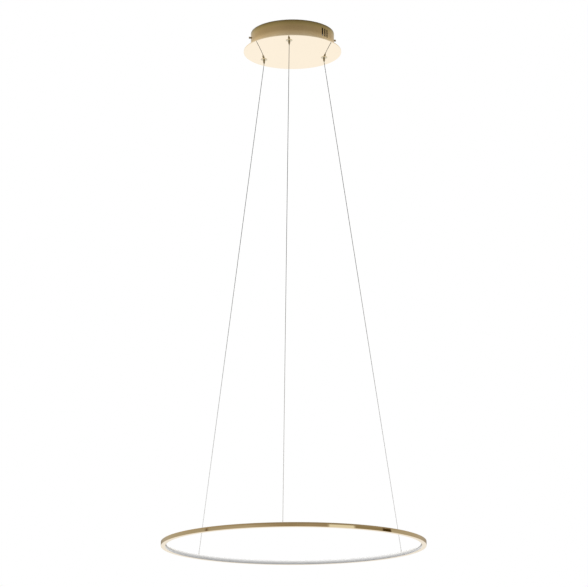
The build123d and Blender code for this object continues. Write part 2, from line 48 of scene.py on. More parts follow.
# ---- camera --------------------------------------------------------------------------------------
# It stands low and far off, and looks up at the lamp through a long lens, turned a little
# towards the canopy's left screw, so the ring is a thin ellipse and the canopy shows its face.
camera_turn = -6.0
camera_distance = 6.9399
camera_sideways = 0.0028
camera_drop = 2.6075
camera_pitch = 14.362
camera_roll = -0.155
camera_lens = 145.35

turn = Matrix.Rotation(radians(camera_turn), 4, "Z")
camera = bpy.data.objects.new("camera", bpy.data.cameras.new("camera"))
camera.data.lens = camera_lens
camera.data.sensor_width = 36.0
camera.data.clip_end = 60.0
camera.matrix_world = (turn @ Matrix.Translation((camera_sideways, -camera_distance, -camera_drop))
                       @ Matrix.Rotation(radians(90 + camera_pitch), 4, "X")
                       @ Matrix.Rotation(radians(camera_roll), 4, "Z"))
bpy.context.scene.collection.objects.link(camera)
bpy.context.scene.camera = camera

# ---- suspension cables ---------------------------------------------------------------------------
# Three taut steel ropes, each with twelve outer wires laid round a core. They leave the release
# plungers under the canopy and end in swaged ferrules on the ring. Two also carry the current.
gripper_circle = 108.4 * mm
gripper_angles = [-11.2, 108.8, 228.8]
plunger_tip_z = -74.5 * mm
anchor_circle = 383.5 * mm
anchor_angles = [-10.5, 116.2, -137.2]
ferrule_top_z = -1581 * mm
cable_diameter = 1.6 * mm
cable_lay = 13 * mm
outer_wires = 12
points_per_wire = 4
rows_per_lay = 12
crease_angle = radians(33)  # sharper edges than this stay sharp under smooth shading
grain_height = 0.2 * mm  # of a finish's grain, at a relief of 1


def polar(radius, angle, z):
    """The point at a radius, an angle and a height."""
    return np.array([radius * sin(radians(angle)), -radius * cos(radians(angle)), z])


def skin(name, grids, along=False, caps=False):
    """One mesh over grids of points. A grid has a row for each step along its path and a column for
    each point round its section. Each point joins the next in its row, the last one joins the
    first, and both join the row after. along joins the last row to the first; caps closes the two
    end rows flat."""
    points, faces, start = [], [], 0
    for grid in grids:
        rows, columns = grid.shape[:2]
        i = np.arange(rows if along else rows - 1)[:, None]
        j = np.arange(columns)[None, :]
        here, after = start + i * columns, start + (i + 1) % rows * columns
        ahead = (j + 1) % columns
        quads = np.stack([here + j, here + ahead, after + ahead, after + j], -1)
        faces += quads.reshape(-1, 4).tolist()
        if caps:
            faces += [list(range(start, start + columns)),
                      list(range(start + (rows - 1) * columns, start + rows * columns))]
        points.append(grid.reshape(-1, 3))
        start += rows * columns
    mesh = bpy.data.meshes.new(name)
    mesh.from_pydata(np.concatenate(points).tolist(), [], faces)
    shell = bmesh.new()
    shell.from_mesh(mesh)
    bmesh.ops.recalc_face_normals(shell, faces=shell.faces)
    shell.to_mesh(mesh)
    shell.free()
    mesh.shade_smooth()
    mesh.set_sharp_from_angle(angle=crease_angle)
    return mesh


def rope(start, end, diameter):
    """Points of a laid rope between two points. Its section is the outline of equal wires, of
    radius w, that touch each other on a circle of radius c = w / sin(180 / wires): at angle a from
    a wire's middle the radius is c cos a + sqrt(w^2 - (c sin a)^2). It turns once in each lay."""
    span = np.linalg.norm(end - start)
    way = (end - start) / span
    side = np.cross(way, [0.0, 1.0, 0.0])
    side /= np.linalg.norm(side)
    other = np.cross(way, side)
    s = np.linspace(0, span, int(span / cable_lay * rows_per_lay) + 2)[:, None]
    around = np.linspace(0, 2 * pi, outer_wires * points_per_wire, endpoint=False)[None, :]
    wire = diameter / 2 / (1 + 1 / sin(pi / outer_wires))
    circle = diameter / 2 - wire
    off = (around + pi / outer_wires) % (2 * pi / outer_wires) - pi / outer_wires
    radius = circle * np.cos(off) + np.sqrt(np.maximum(wire**2 - (circle * np.sin(off))**2, 0))
    twisted = around + 2 * pi * s / cable_lay
    cosine, sine = np.cos(twisted)[..., None], np.sin(twisted)[..., None]
    across = radius[..., None] * (cosine * side + sine * other)
    return start + s[..., None] * way + across


def node(tree, kind, inputs, **settings):
    """Adds a shader node and fills each input with a value or with another node's output."""
    made = tree.nodes.new("ShaderNode" + kind)
    for key, value in settings.items():
        setattr(made, key, value)
    for key, value in inputs.items():
        if isinstance(value, bpy.types.NodeSocket):
            tree.links.new(value, made.inputs[key])
        else:
            made.inputs[key].default_value = value
    return made


def reckon(tree, operation, *values, clamp=False):
    """The result of a math node on one, two or three values."""
    made = node(tree, "Math", dict(enumerate(values)), operation=operation, use_clamp=clamp)
    return made.outputs[0]


def stretch(tree, value, low, high, to_low=0.0, to_high=1.0):
    """Maps the range from low to high onto another one, and holds the value at both ends."""
    made = node(tree, "MapRange", {"Value": value, "From Min": low, "From Max": high,
                                   "To Min": to_low, "To Max": to_high})
    return made.outputs[0]


def spot_on(tree, kind="Object"):
    """The X, Y and Z sockets of the place on a piece, or of a direction in the studio."""
    return node(tree, "SeparateXYZ", {0: node(tree, "TexCoord", {}).outputs[kind]}).outputs


def new_group(name, inputs, outputs):
    """An empty shader node group with named float or colour sockets, and its two ends' sockets."""
    tree = bpy.data.node_groups.new(name, "ShaderNodeTree")
    for sockets, way in ((inputs, "INPUT"), (outputs, "OUTPUT")):
        for label, kind in sockets.items():
            tree.interface.new_socket(label, in_out=way, socket_type="NodeSocket" + kind)
    return tree, tree.nodes.new("NodeGroupInput").outputs, tree.nodes.new("NodeGroupOutput").inputs


# Handling marks: slow patches and fine grain that shift the tone and the roughness a little.
handling, marks_in, marks_out = new_group(
    "handling", {"Colour": "Color", "Tone": "Float", "Roughness": "Float", "Spread": "Float",
                 "Patch": "Float", "Grain": "Float"},
    {"Colour": "Color", "Roughness": "Float", "Height": "Float"})
place = node(handling, "TexCoord", {}).outputs["Object"]
patches = node(handling, "TexNoise", {"Vector": place, "Scale": marks_in["Patch"], "Detail": 3.0})
grain = node(handling, "TexNoise", {"Vector": place, "Scale": marks_in["Grain"], "Detail": 2.0})
slow = reckon(handling, "SUBTRACT", patches.outputs["Fac"], 0.5)
fine = reckon(handling, "SUBTRACT", grain.outputs["Fac"], 0.5)
shift = reckon(handling, "MULTIPLY_ADD", slow, marks_in["Tone"], 1.0)
toned = node(handling, "VectorMath", {0: marks_in["Colour"], "Scale": shift}, operation="SCALE")
rough = reckon(handling, "MULTIPLY_ADD", reckon(handling, "ADD", slow, fine), marks_in["Spread"],
               marks_in["Roughness"], clamp=True)
handling.links.new(toned.outputs[0], marks_out["Colour"])
handling.links.new(rough, marks_out["Roughness"])
handling.links.new(grain.outputs["Fac"], marks_out["Height"])


def finish(name, colour, roughness, metallic=0.0, tone=0.12, spread=0.1, patch=25.0, grain=900.0,
           relief=0.02, **sockets):
    """A material whose colour and roughness take the handling marks, with its grain as a bump."""
    made = bpy.data.materials.new(name)
    made.use_nodes = True
    tree = made.node_tree
    shader = tree.nodes["Principled BSDF"]
    shader.inputs["Metallic"].default_value = metallic
    for label, value in sockets.items():
        shader.inputs[label.replace("_", " ").title()].default_value = value
    marks = node(tree, "Group", {"Colour": (*colour, 1.0), "Tone": tone, "Roughness": roughness,
                                 "Spread": spread, "Patch": patch, "Grain": grain},
                 node_tree=handling)
    bump = node(tree, "Bump", {"Strength": relief, "Distance": grain_height,
                               "Height": marks.outputs["Height"]})
    tree.links.new(marks.outputs["Colour"], shader.inputs["Base Color"])
    tree.links.new(marks.outputs["Roughness"], shader.inputs["Roughness"])
    tree.links.new(bump.outputs[0], shader.inputs["Normal"])
    return made


def piece(name, mesh, material, body, slot, *stands_for):
    """Puts a mesh in the scene as a piece that rides on a body and replaces CAD nodes."""
    made = bpy.data.objects.new(name, mesh)
    bpy.context.scene.collection.objects.link(made)
    mesh.materials.append(material)
    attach(made, body)
    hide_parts(*stands_for)
    return made


def ramp(tree, value, stops):
    """A colour ramp with a stop for each (place, colour)."""
    made = node(tree, "ValToRGB", {0: value})
    elements = made.color_ramp.elements
    elements[0].position, elements[1].position = 0.0, 1.0
    for stop, colour in stops[1:-1]:
        elements.new(stop).color = (*colour, 1.0)
    elements[0].color = (*stops[0][1], 1.0)
    elements[-1].color = (*stops[-1][1], 1.0)
    return made.outputs[0]


def by_height(material, stops):
    """Colours a material by height, from the lowest (height, colour) to the highest."""
    tree = material.node_tree
    lowest, highest = stops[0][0], stops[-1][0]
    share = stretch(tree, spot_on(tree)["Z"], lowest, highest)
    colour = ramp(tree, share, [((z - lowest) / (highest - lowest), c) for z, c in stops])
    tree.links.new(colour, tree.nodes["Group"].inputs["Colour"])


# The ropes' colour is painted by height: painted light, near white, towards the ring, and painted
# shade, near black, towards the canopy.
cable_steel = finish("cable_steel", (0.2, 0.2, 0.2), 0.42, metallic=0.85, patch=300.0, grain=2500.0)
by_height(cable_steel, [
    (-1.55, (0.86, 0.86, 0.87)), (-1.15, (0.6, 0.6, 0.61)), (-1.0, (0.45, 0.45, 0.45)),
    (-0.81, (0.26, 0.255, 0.25)), (-0.65, (0.09, 0.087, 0.085)), (-0.45, (0.02, 0.019, 0.018))])
for number, (above, below) in enumerate(zip(gripper_angles, anchor_angles), 1):
    top = polar(gripper_circle, above, plunger_tip_z)
    bottom = polar(anchor_circle, below, ferrule_top_z)
    mesh = skin("wire_rope", [rope(top, bottom, cable_diameter)], caps=True)
    cable = piece(f"wire_rope_{number}", mesh, cable_steel, "canopy", "cable_steel",
                  f"suspension_cable_{number}")
    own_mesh(cable)

# ---- studio --------------------------------------------------------------------------------------
# A white backdrop behind and below the lamp, and a dimmer warm room on the camera's side. The room
# has a bright panel, a dark doorway and a dark post, which the ring's face mirrors. The floor is
# pale, and one broad soft lamp hangs overhead.
floor_z = -3.4
floor_radius = 14.0
glow_from, glow_whole = 4.5, 12.0
patch_radius = 126.5 * mm
patch_z = 0.5 * mm
softbox_place = (-1.2, -0.6, 1.8)
softbox_size = 2.4
softbox_power = 60.0
disc_sides = 96
white = (1.0, 1.0, 1.0, 1.0)
thrown_back = (0.15, 0.15, 0.15, 1.0)
# Directions are unit vectors: Y is the part away from the camera, Z the part upwards.
backdrop_from, backdrop_whole = 0.86, 0.94
eye_level_to, upper_from = 0.167, 0.182
horizon = 0.01
back_from, back_whole, back_gain = -0.3, 0.7, 1.7
room_bands = [  # bearing in degrees, 0 towards the camera, and the colour seen at eye level
    (-180, (0.32, 0.28, 0.22)), (-164, (0.32, 0.28, 0.22)), (-158, (0.47, 0.44, 0.38)),
    (-140, (0.55, 0.53, 0.48)), (-82, (0.49, 0.47, 0.42)), (-80.6, (0.2, 0.14, 0.09)),
    (-79.4, (0.2, 0.14, 0.09)), (-78, (0.47, 0.45, 0.4)), (-40, (0.53, 0.5, 0.46)),
    (-12, (0.4, 0.35, 0.28)), (-3, (0.37, 0.32, 0.25)), (13, (0.42, 0.37, 0.3)),
    (29.3, (0.38, 0.33, 0.27)), (30.3, (0.93, 0.98, 1.0)), (52.8, (0.93, 0.98, 1.0)),
    (53.8, (0.34, 0.3, 0.22)), (81.5, (0.33, 0.29, 0.21)), (82.5, (0.07, 0.042, 0.008)),
    (91.5, (0.07, 0.042, 0.008)), (92.5, (0.52, 0.5, 0.45)), (140, (0.53, 0.5, 0.45)),
    (158, (0.42, 0.38, 0.32)), (180, (0.32, 0.28, 0.22))]
room_above = [  # height as the sine of the angle above eye level, and the colour there
    (0.0, (0.28, 0.25, 0.2)), (0.2, (0.29, 0.26, 0.21)), (0.3, (0.47, 0.44, 0.38)),
    (0.5, (0.36, 0.33, 0.28)), (0.8, (0.24, 0.22, 0.18)), (1.0, (0.24, 0.22, 0.18))]
room_share = [  # bearing, and how many times brighter the upper room is there
    (-180, 2.0), (-120, 2.0), (-80, 1.6), (-50, 1.5), (-20, 1.25), (0, 1.2), (50, 1.18),
    (78, 1.4), (100, 1.5), (134, 1.8), (180, 2.0)]
lit_above = [  # what lights the dull surfaces, from straight below (0) to straight above (1)
    (0.0, 0.12), (0.46, 0.2), (0.54, 0.6), (0.65, 0.9), (0.8, 1.2), (1.0, 1.4)]


def blend(tree, share, first, second):
    """The colour at a share of the way from a first one to a second one."""
    return node(tree, "Mix", {0: share, 6: first, 7: second}, data_type="RGBA").outputs[2]


def scaled(tree, colour, factor):
    """A colour times a number."""
    return node(tree, "VectorMath", {0: colour, "Scale": factor}, operation="SCALE").outputs[0]


bpy.context.scene.view_settings.view_transform = "Standard"
world = bpy.data.worlds.new("studio")
bpy.context.scene.world = world
world.use_nodes = True
sky = world.node_tree
way = spot_on(sky, "Generated")
bearing = reckon(sky, "ARCTAN2", way["X"], reckon(sky, "MULTIPLY", way["Y"], -1.0))
around = reckon(sky, "MULTIPLY_ADD", bearing, 1 / (2 * pi), 0.5 - camera_turn / 360)
eye_level = ramp(sky, around, [(b / 360 + 0.5, c) for b, c in room_bands])
half_share = ramp(sky, around, [(b / 360 + 0.5, (s / 2,) * 3) for b, s in room_share])
upper = node(sky, "VectorMath", {0: ramp(sky, way["Z"], room_above),
                                 1: scaled(sky, half_share, 2.0)}, operation="MULTIPLY").outputs[0]
upper = blend(sky, stretch(sky, way["Y"], backdrop_from, backdrop_whole), upper, white)
room = blend(sky, stretch(sky, way["Z"], eye_level_to, upper_from), eye_level, upper)
room = blend(sky, stretch(sky, way["Z"], -horizon, horizon), white, room)
paths = node(sky, "LightPath", {}).outputs
seen = blend(sky, paths["Is Camera Ray"], room, white)
dull_light = ramp(sky, stretch(sky, way["Z"], -1.0, 1.0), [(h, (g,) * 3) for h, g in lit_above])
dull_light = scaled(sky, dull_light, stretch(sky, way["Y"], back_from, back_whole, 1.0, back_gain))
mirrored = reckon(sky, "MAXIMUM", paths["Is Glossy Ray"], paths["Is Transmission Ray"])
shown = reckon(sky, "MAXIMUM", paths["Is Camera Ray"], mirrored)
sky.links.new(blend(sky, shown, dull_light, seen), sky.nodes["Background"].inputs["Color"])


def one_sided(name, colour, glow, seen_only=0.0):
    """A dull stage material that is clear from behind. glow is the share of white that it shows to
    the camera, and to gloss and glass; far from its middle the camera sees it all white. It throws
    little light back onto dull surfaces, and lets the share seen_only of such light pass."""
    made = bpy.data.materials.new(name)
    made.use_nodes = True
    tree = made.node_tree
    tree.nodes.remove(tree.nodes["Principled BSDF"])
    paths = node(tree, "LightPath", {}).outputs
    paint = blend(tree, paths["Is Diffuse Ray"], (*colour, 1.0), thrown_back)
    dull = node(tree, "BsdfDiffuse", {"Color": paint})
    bright = node(tree, "Emission", {"Color": white})
    clear = node(tree, "BsdfTransparent", {})
    mirrored = reckon(tree, "MAXIMUM", paths["Is Glossy Ray"], paths["Is Transmission Ray"])
    spot = node(tree, "TexCoord", {}).outputs["Object"]
    away = node(tree, "VectorMath", {0: spot}, operation="LENGTH").outputs["Value"]
    to_camera = reckon(tree, "MULTIPLY", paths["Is Camera Ray"],
                       stretch(tree, away, glow_from, glow_whole, glow[0], 1.0))
    share = reckon(tree, "MAXIMUM", to_camera, reckon(tree, "MULTIPLY", mirrored, glow[1]))
    front = node(tree, "MixShader", {0: share, 1: dull.outputs[0], 2: bright.outputs[0]})
    facing = node(tree, "NewGeometry", {}).outputs["Backfacing"]
    unseen = reckon(tree, "SUBTRACT", 1.0, paths["Is Camera Ray"])
    passed = reckon(tree, "MULTIPLY_ADD", unseen, seen_only, facing, clamp=True)
    whole = node(tree, "MixShader", {0: passed, 1: front.outputs[0], 2: clear.outputs[0]})
    tree.links.new(whole.outputs[0], tree.nodes["Material Output"].inputs["Surface"])
    return made


def stage_disc(name, radius, z, material, up):
    """A flat round face at a height, looking up or down."""
    a = np.linspace(0, 2 * pi, disc_sides, endpoint=False)[:: 1 if up else -1]
    edge = np.stack([radius * np.cos(a), radius * np.sin(a), np.full(disc_sides, z)], -1)
    mesh = bpy.data.meshes.new(name)
    mesh.from_pydata(edge.tolist(), [], [list(range(disc_sides))])
    mesh.materials.append(material)
    made = bpy.data.objects.new(name, mesh)
    bpy.context.scene.collection.objects.link(made)


pale_floor = one_sided("pale_floor", colour=(0.62, 0.61, 0.6), glow=(0.6, 1.0))
stage_disc("floor", floor_radius, floor_z, pale_floor, up=True)
# The shaded ceiling inside the canopy shows through the vents, and still lets some light in.
shaded = one_sided("shaded_ceiling", colour=(0.03, 0.03, 0.03), glow=(0, 0), seen_only=0.3)
stage_disc("ceiling_patch", patch_radius, patch_z, shaded, up=False)

softbox = bpy.data.objects.new("softbox", bpy.data.lights.new("softbox", "AREA"))
softbox.data.shape = "DISK"
softbox.data.size = softbox_size
softbox.data.energy = softbox_power
softbox.location = softbox_place
softbox.visible_glossy = False
bpy.context.scene.collection.objects.link(softbox)

# ---- ring: two half hoops ------------------------------------------------------------------------
# Rolled aluminium channel, polished and gold plated, in two halves that butt at hairline seams. Its
# web is the bright outer face, and its two flanges hold the diffuser at the inside.
ring_radius = 390 * mm
ring_top_z = -1586 * mm
ring_height = 12.5 * mm
flange_width = 13 * mm
web = 1.5 * mm
flange = 1.3 * mm
seam_angle = 70.0
seam_gap = 0.12 * mm
lip_radius = ring_radius - flange_width
ring_bottom_z = ring_top_z - ring_height
face_crown = 0.12 * mm
hoop_steps = 541


def rounded(corners, radii, closed=True, steps=5):
    """An outline with its corners rounded. A corner's arc has its centre on the corner's bisector
    and touches both sides, 0.39 of the shorter one from the corner at most. One more point on each
    side, a quarter of the reach further out, keeps the flats flat under smooth shading. An open
    outline keeps its two ends."""
    p = np.array(corners, float)
    r = np.broadcast_to(np.array(radii, float), len(p))[:, None]
    u, v = np.roll(p, 1, 0) - p, np.roll(p, -1, 0) - p
    long_u, long_v = (np.linalg.norm(w, axis=1, keepdims=True) for w in (u, v))
    u, v = u / long_u, v / long_v
    half = np.arccos(np.clip((u * v).sum(1, keepdims=True), -0.9999, 0.9999)) / 2
    reach = np.minimum(r / np.tan(half), 0.39 * np.minimum(long_u, long_v))
    r = reach * np.tan(half)
    middle = (u + v) / np.maximum(np.linalg.norm(u + v, axis=1, keepdims=True), 1e-9)
    centre = p + middle * r / np.sin(half)
    sweep = pi - 2 * half
    k = np.linspace(0, 1, steps + 1)[None, :]
    first = (np.sin((1 - k) * sweep) / np.sin(sweep))[..., None]
    last = (np.sin(k * sweep) / np.sin(sweep))[..., None]
    begin, end = p + u * reach - centre, p + v * reach - centre
    arc = centre[:, None] + first * begin[:, None] + last * end[:, None]
    guard_u, guard_v = (p + u * reach * 1.25)[:, None], (p + v * reach * 1.25)[:, None]
    whole = np.concatenate([guard_u, arc, guard_v], 1)
    if closed:
        return whole.reshape(-1, 2)
    return np.concatenate([p[:1], whole[1:-1].reshape(-1, 2), p[-1:]])


def turned(section, steps, start=0.0, arc=360.0, x=0.0, y=0.0):
    """A (radius, height) section turned about an upright axis: at angle a its points stand at
    (radius sin a, -radius cos a, height) from the axis. A full turn leaves out its last step."""
    a = np.radians(np.linspace(start, start + arc, steps, endpoint=arc < 360))[:, None]
    radius, height = section.T
    return np.stack([x + radius * np.sin(a), y - radius * np.cos(a), 0 * a + height], -1)


channel = rounded(
    [(lip_radius, ring_top_z), (ring_radius - face_crown, ring_top_z),
     (ring_radius, (ring_top_z + ring_bottom_z) / 2), (ring_radius - face_crown, ring_bottom_z),
     (lip_radius, ring_bottom_z), (lip_radius, ring_bottom_z + flange),
     (ring_radius - web, ring_bottom_z + flange), (ring_radius - web, ring_top_z - flange),
     (lip_radius, ring_top_z - flange)],
    np.array([0.3, 0.5, 200, 0.5, 0.3, 0.2, 0.4, 0.4, 0.2]) * mm)
ring_gold = finish("ring_gold", (0.76, 0.6, 0.36), 0.035, metallic=1.0, tone=0.03, spread=0.03,
                   patch=14.0, grain=160.0, relief=0.004)
half_gap = np.degrees(seam_gap / 2 / ring_radius)
for side, start in (("right", seam_angle - 180), ("left", seam_angle)):
    hoop = turned(channel, hoop_steps, start + half_gap, 180 - 2 * half_gap)
    mesh = skin("half_hoop", [hoop], caps=True)
    piece(f"half_hoop_{side}", mesh, ring_gold, "ring", "ring_gold", f"ring_half_{side}")

# ---- diffuser ------------------------------------------------------------------------------------
# One strip of extruded opal acrylic with a glossy skin, round the inside of the ring. Its crown
# stands inwards, and two legs snap in behind the channel's lips.
crown_stand = 2.4 * mm
diffuser_wall = 1.4 * mm
leg_reach = 2.6 * mm
leg_thickness = 1.0 * mm
opal_gap = 0.1 * mm
diffuser_back = lip_radius - opal_gap
strip_steps = 720


def crown(back, stand, low, high, steps=18):
    """A shallow arc through (back, low), a point stand further in at mid height, and (back, high).
    Its radius is (h^2 + stand^2) / (2 stand), with h half the height."""
    h = (high - low) / 2
    radius = (h**2 + stand**2) / (2 * stand)
    reach = np.arcsin(h / radius)
    a = np.linspace(-reach, reach, steps)
    inwards = back - stand + radius - radius * np.cos(a)
    return np.stack([inwards, (low + high) / 2 + radius * np.sin(a)], -1)


low, high = ring_bottom_z + flange, ring_top_z - flange
inner_low, inner_high = low + leg_thickness, high - leg_thickness
leg_end = lip_radius + leg_reach
opal_section = np.concatenate([
    crown(diffuser_back, crown_stand, ring_bottom_z + opal_gap, ring_top_z - opal_gap),
    [(diffuser_back, high), (leg_end, high), (leg_end, inner_high), (diffuser_back, inner_high)],
    crown(diffuser_back, crown_stand - diffuser_wall, inner_low, inner_high)[-2:0:-1],
    [(diffuser_back, inner_low), (leg_end, inner_low), (leg_end, low), (diffuser_back, low)]])
opal = finish("opal_diffuser", (0.8, 0.8, 0.8), 0.18, tone=0.03, spread=0.08, patch=30.0,
              grain=400.0, relief=0.01, coat_weight=1.0, coat_roughness=0.06)
mesh = skin("opal_strip", [turned(opal_section, strip_steps)], along=True)
piece("opal_strip", mesh, opal, "ring", "opal_diffuser", "ring_diffuser")

# ---- light strip in the channel ------------------------------------------------------------------
# A white flexible circuit, taped to the channel's web, with warm chips soldered to its inner face.
# Both are behind the diffuser, and are shown as the frame has them.


def dress(material, *nodes):
    """Gives CAD nodes a material."""
    for name in nodes:
        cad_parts[name].data.materials.clear()
        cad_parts[name].data.materials.append(material)


dress(finish("strip_white", (0.8, 0.8, 0.78), 0.4, grain=600.0, relief=0.05), "light_strip")
dress(finish("chip_phosphor", (0.85, 0.7, 0.2), 0.35, tone=0.3, patch=700.0), "light_chips")

# ---- splice plates and screws --------------------------------------------------------------------
# A zinc plated plate behind the top flange bridges each seam, and two low screws through the flange
# draw it up.
splice_plate_thickness = 2 * mm
splice_screw_arc = 4.4
splice_head_radius = 2.5 * mm
splice_head_height = 1.2 * mm
splice_shank_radius = 1.5 * mm
socket_radius = 1.1 * mm
socket_depth = 0.7 * mm
splice_core = 0.2 * mm

zinc_steel = finish("zinc_steel", (0.58, 0.59, 0.6), 0.33, metallic=1.0, tone=0.25, spread=0.2,
                    patch=60.0, grain=500.0, relief=0.05)
dress(zinc_steel, "splice_plates")
head_top = ring_top_z + splice_head_height
socket_floor = head_top - socket_depth
shank_end = ring_top_z - flange - splice_plate_thickness
screw_outline = rounded(
    [(splice_core, socket_floor), (socket_radius, socket_floor), (socket_radius, head_top),
     (splice_head_radius, head_top), (splice_head_radius, ring_top_z),
     (splice_shank_radius, ring_top_z), (splice_shank_radius, shank_end), (splice_core, shank_end)],
    np.array([0, 0.05, 0.1, 0.4, 0.1, 0.05, 0.2, 0]) * mm, closed=False, steps=3)
dark_gold = finish("dark_gold_screw", (0.34, 0.26, 0.13), 0.3, metallic=1.0, tone=0.2, patch=200.0)
screws = []
for seam in (seam_angle, seam_angle + 180):
    for side in (-1, 1):
        x, y, _ = polar(anchor_circle, seam + side * splice_screw_arc / 2, 0)
        screws.append(turned(screw_outline, 32, x=x, y=y).swapaxes(0, 1))
piece("seam_screws", skin("seam_screws", screws, caps=True), dark_gold, "ring", "dark_gold_screw",
      "splice_screws")

# ---- ferrules, their nuts and contacts -----------------------------------------------------------
# A nickel plated brass ferrule is swaged on each cable's end. Its shoulder stands on the ring's
# top, and its stud goes through the flange to a nut. On two of them a sprung contact leads the
# current to the light strip.
ferrule_radius = 1.5 * mm
shoulder_radius = 2.6 * mm
shoulder_height = 0.8 * mm
stud_end_z = ring_top_z - 5.5 * mm
stud_core = 0.4 * mm
mouth_chamfer = 0.15 * mm
crimp_depth = 0.18 * mm
crimp_pitch = 1.1 * mm
crimp_margin = 0.3 * mm
thread_gap = 0.05 * mm
washer_thickness = 0.5 * mm
ferrule_nut_flats = 5.5 * mm
ferrule_nut_height = 2.4 * mm

barrel_low, barrel_high = ring_top_z + shoulder_height, ferrule_top_z
stations = np.linspace(barrel_high, barrel_low, 40)
wave = np.cos(2 * pi * (stations - barrel_low) / crimp_pitch)
crimped = (stations > barrel_low + crimp_margin) & (stations < barrel_high - crimp_margin)
waist = np.where(crimped, 1 - wave, 0)
barrel = np.stack([ferrule_radius - crimp_depth * waist / 2, stations], -1)
foot = rounded(
    [(ferrule_radius, barrel_low + 0.1 * mm), (ferrule_radius, barrel_low),
     (shoulder_radius, barrel_low), (shoulder_radius, ring_top_z), (ferrule_radius, ring_top_z),
     (ferrule_radius, stud_end_z), (stud_core, stud_end_z)],
    np.array([0, 0.02, 0.2, 0.1, 0.05, 0.3, 0]) * mm, closed=False, steps=3)[1:]
mouth = [(cable_diameter / 2, barrel_high), (ferrule_radius - mouth_chamfer, barrel_high)]
ferrule_outline = np.concatenate([mouth, barrel[1:], foot])
satin_nickel = finish("satin_nickel", (0.9, 0.89, 0.87), 0.5, metallic=0.4, tone=0.05, patch=120.0,
                      grain=1500.0)
anchor_spots = [polar(anchor_circle, a, 0)[:2] for a in anchor_angles]
ferrules = [turned(ferrule_outline, 48, x=x, y=y).swapaxes(0, 1) for x, y in anchor_spots]
piece("swaged_ferrules", skin("swaged_ferrules", ferrules, caps=True), satin_nickel, "ring",
      "gripper_brass", "cable_ferrules")


def hexagon_nut(flats, hole, low, high, x, y):
    """A nut's points: the outer radius is the lesser of the hexagon, (flats / 2) / cos of the angle
    from a flat's middle, and a cone that chamfers the corners at both ends. The bore closes the
    section, and opens a little at both ends."""
    a = np.radians(np.arange(0, 360, 5))[:, None]
    off = (a + pi / 6) % (pi / 3) - pi / 6
    hexagon = flats / 2 / np.cos(off)
    height = high - low
    stations = np.array([0, 0.04, 0.09, 0.16, 0.84, 0.91, 0.96, 1.0])
    end_share, cone_slope = 0.95, 1.8
    cone = flats / 2 * end_share + np.minimum(stations, 1 - stations) * height * cone_slope
    outer = np.minimum(hexagon, cone)
    bore_stations, opening = np.array([0, 0.08, 0.92, 1]), np.array([0.12, 0, 0, 0.12])
    bore = np.full((len(a), 4), hole) + opening * (flats / 2 - hole)
    heights = np.concatenate([low + stations * height, high - bore_stations * height])
    radius = np.concatenate([outer, bore], 1)
    return np.stack([x + radius * np.sin(a), y - radius * np.cos(a), 0 * a + heights], -1)


nut_high = ring_top_z - flange - washer_thickness
nut_low = nut_high - ferrule_nut_height
nuts = [hexagon_nut(ferrule_nut_flats, ferrule_radius + thread_gap, nut_low, nut_high, x, y)
        for x, y in anchor_spots]
piece("ferrule_hexagons", skin("ferrule_hexagons", nuts, along=True), satin_nickel, "ring",
      "gripper_brass", "ferrule_nuts")
tinned_copper = finish("tinned_copper", (0.72, 0.7, 0.66), 0.3, metallic=1.0, patch=200.0)
dress(tinned_copper, "feed_contacts", "ferrule_washer")

# ---- canopy drum ---------------------------------------------------------------------------------
# A rolled sheet steel wall, 60 mm high with its disc, and an inturned rim at the bottom. It is
# gold plated and brushed along its length. Two groups of three slots let the driver's heat out.
drum_radius = 129 * mm
drum_wall = 1.2 * mm
rim_width = 10 * mm
disc_back_z = -57 * mm
disc_face_z = -60 * mm
vent_groups = (44.6, 224.6)
vent_pitch = 4.9
vent_angles = [middle + step * vent_pitch for middle in vent_groups for step in (-1, 0, 1)]
vent_width = 5.6 * mm
vent_length = 27 * mm
vent_z = -25.5 * mm
cutter_reach = 4 * mm
noise_per_radian = 0.012
brush_depth = 0.05 * mm
# Painted shade: the near black colour and the roughness of the wall's inner side and the slots' cut
# edges.
painted_inside_shade = (0.05, 0.04, 0.025, 1.0)
inside_shade_roughness = 0.8
outer_face_from, outer_face_whole = drum_radius - 0.3 * mm, drum_radius - 0.05 * mm
rim_from, rim_whole = -52 * mm, -55 * mm


def slot_cutter(angle, radius, depth):
    """Points of a round-ended slot's prism that passes through the wall: seen along the radius, two
    half circles joined by straight sides. Its rows stand depth inside and outside the radius."""
    a = np.linspace(0, 2 * pi, 32, endpoint=False)
    across = vent_width / 2 * np.cos(a)
    to_half_circle = np.sign(np.sin(a) + 1e-9) * (vent_length - vent_width) / 2
    up = vent_z + vent_width / 2 * np.sin(a) + to_half_circle
    reach = np.array([radius - depth, radius + depth])[:, None]
    t = radians(angle)
    x = reach * sin(t) + across * cos(t)
    y = -reach * cos(t) + across * sin(t)
    return np.stack([x, y, 0 * reach + up], -1)


def worked_out(thing):
    """The mesh that an object's modifiers or curve settings come to."""
    now = bpy.context.evaluated_depsgraph_get()
    return bpy.data.meshes.new_from_object(thing.evaluated_get(now))


# Brushing that runs round the drum: noise that changes fast with height and slowly along the wall.
brushing, brush_in, brush_out = new_group("brushing", {"Lines": "Float"}, {"Lines": "Float"})
spot = spot_on(brushing)
along_wall = reckon(brushing, "MULTIPLY", reckon(brushing, "ARCTAN2", spot["X"], spot["Y"]),
                    noise_per_radian)
cylinder = node(brushing, "CombineXYZ", {"X": along_wall, "Z": spot["Z"]})
lines = node(brushing, "TexNoise", {"Vector": cylinder.outputs[0], "Scale": brush_in["Lines"],
                                    "Detail": 4.0})
brushing.links.new(lines.outputs["Fac"], brush_out["Lines"])


